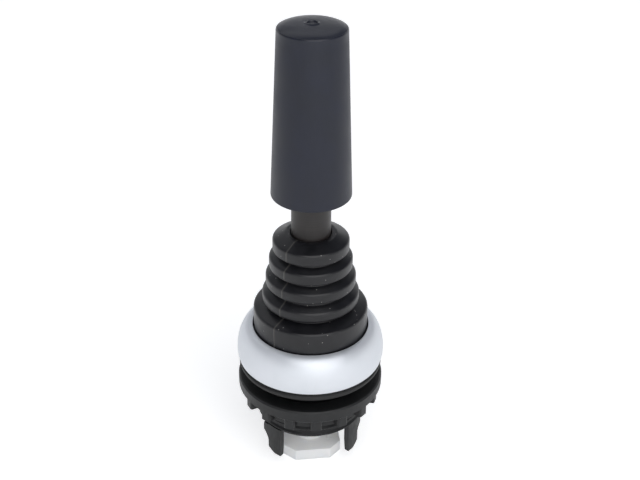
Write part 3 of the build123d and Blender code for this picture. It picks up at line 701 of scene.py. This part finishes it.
# Moulded thermoplastic: blue-black with a fine satin texture, polished a little by hands near its top.
# The tool's 0.08 mm texture is drawn 0.35 mm wide.
grip_plastic, tree, place, shader = start_material("moulded_grip_thermoplastic")
cloud = add(tree, "TexNoise", {"Vector": place, "Scale": 0.2, "Detail": 4.0})
tone = add(tree, "ValToRGB", {"Fac": cloud.outputs["Fac"]},
           ramp=[(0.3, linear("#111522")), (0.7, linear("#171b2a"))])
grain = add(tree, "TexNoise", {"Vector": place, "Scale": 2.8, "Detail": 3.0})
skin = add(tree, "Bump", {"Height": grain.outputs["Fac"], "Strength": 0.22, "Distance": 0.00003})
height = add(tree, "SeparateXYZ", {"Vector": place})
worn = add(tree, "MapRange", {"Value": height.outputs["Z"], "From Min": 69.0, "From Max": 70.8,
                              "To Min": 0.0, "To Max": -0.14})
matt = add(tree, "MapRange", {"Value": cloud.outputs["Fac"], "From Min": 0.3, "From Max": 0.7,
                              "To Min": 0.44, "To Max": 0.52})
polished = add(tree, "Math", {0: matt.outputs[0], 1: worn.outputs[0]}, operation="ADD")
feed(tree, shader, tone.outputs["Color"], polished.outputs[0], skin)
shader.inputs["Specular IOR Level"].default_value = 0.42
grip.data.materials.append(grip_plastic)


# Actuator plate.
# A moulding of white acetal with its stem up to the hub, which presses the plungers of the contacts. It
# is held from below by a plated nut and washer.

# White acetal: opaque and waxy, with a faint cloudiness, soft sink near its edges and the shallow ring
# that an ejector pin left on the plate's upper face.
ejector_mark = (3.9, -2.7, -19.5)
ejector_mark_r = 0.5
white_acetal, tree, place, shader = start_material("moulded_white_acetal")
cloud = add(tree, "TexNoise", {"Vector": place, "Scale": 0.5, "Detail": 4.0})
tone = add(tree, "ValToRGB", {"Fac": cloud.outputs["Fac"]},
           ramp=[(0.3, linear("#f8f8f7")), (0.7, linear("#fcfcfb"))])
matt = add(tree, "MapRange", {"Value": cloud.outputs["Fac"], "From Min": 0.3, "From Max": 0.7,
                              "To Min": 0.34, "To Max": 0.44})
sink = add(tree, "TexNoise", {"Vector": place, "Scale": 0.8, "Detail": 1.0})
skin = add(tree, "Bump", {"Height": sink.outputs["Fac"], "Strength": 0.15, "Distance": 0.00008})
from_mark = add(tree, "VectorMath", {0: place, 1: ejector_mark}, operation="DISTANCE")
off_ring = add(tree, "Math", {0: from_mark.outputs["Value"], 1: ejector_mark_r}, operation="SUBTRACT")
band = add(tree, "Math", {0: off_ring.outputs[0]}, operation="ABSOLUTE")
ring = add(tree, "MapRange", {"Value": band.outputs[0], "From Min": 0.03, "From Max": 0.14,
                              "To Min": 0.0, "To Max": 1.0})
marked = add(tree, "Bump", {"Height": ring.outputs[0], "Strength": 0.8, "Distance": 0.0001,
                            "Normal": skin.outputs[0]})
feed(tree, shader, tone.outputs["Color"], matt.outputs[0], marked)
shader.inputs["Subsurface Weight"].default_value = 0.5
shader.inputs["Subsurface Radius"].default_value = (0.002, 0.0018, 0.0016)
shader.inputs["Subsurface Scale"].default_value = 1.0
dress(white_acetal, "actuator_plate")


# Panel nut.
# Black polyamide, screwed up the neck by its ribs. It is the body's material, rubbed paler on the ribs'
# outer faces where a spanner or fingers turn it.
nut_plastic, tree, place, shader = start_material("moulded_polyamide_nut")
mottle = add(tree, "TexNoise", {"Vector": place, "Scale": 0.5, "Detail": 5.0, "Roughness": 0.6})
tone = add(tree, "ValToRGB", {"Fac": mottle.outputs["Fac"]},
           ramp=[(0.3, linear("#0e0f10")), (0.7, linear("#151617"))])
flat = add(tree, "Mapping", {"Vector": place, "Scale": (1.0, 1.0, 0.0)})
radius = add(tree, "VectorMath", {0: flat.outputs[0]}, operation="LENGTH")
crest = add(tree, "MapRange", {"Value": radius.outputs["Value"], "From Min": 13.85, "From Max": 14.1,
                               "To Min": 0.0, "To Max": 0.3})
scuffs = add(tree, "TexNoise", {"Vector": place, "Scale": 1.6, "Detail": 5.0})
rubbed = add(tree, "Math", {0: crest.outputs[0], 1: scuffs.outputs["Fac"]}, operation="MULTIPLY")
worn = add(tree, "Mix", {0: rubbed.outputs[0], 6: tone.outputs["Color"], 7: linear("#3a3a3b")},
           data_type="RGBA")
matt = add(tree, "MapRange", {"Value": scuffs.outputs["Fac"], "From Min": 0.3, "From Max": 0.7,
                              "To Min": 0.42, "To Max": 0.56})
grain = add(tree, "TexNoise", {"Vector": place, "Scale": 3.3, "Detail": 2.0})
skin = add(tree, "Bump", {"Height": grain.outputs["Fac"], "Strength": 0.25, "Distance": 0.00003})
feed(tree, shader, worn.outputs[2], matt.outputs[0], skin)
shader.inputs["Specular IOR Level"].default_value = 0.36
dress(nut_plastic, "ring_nut")
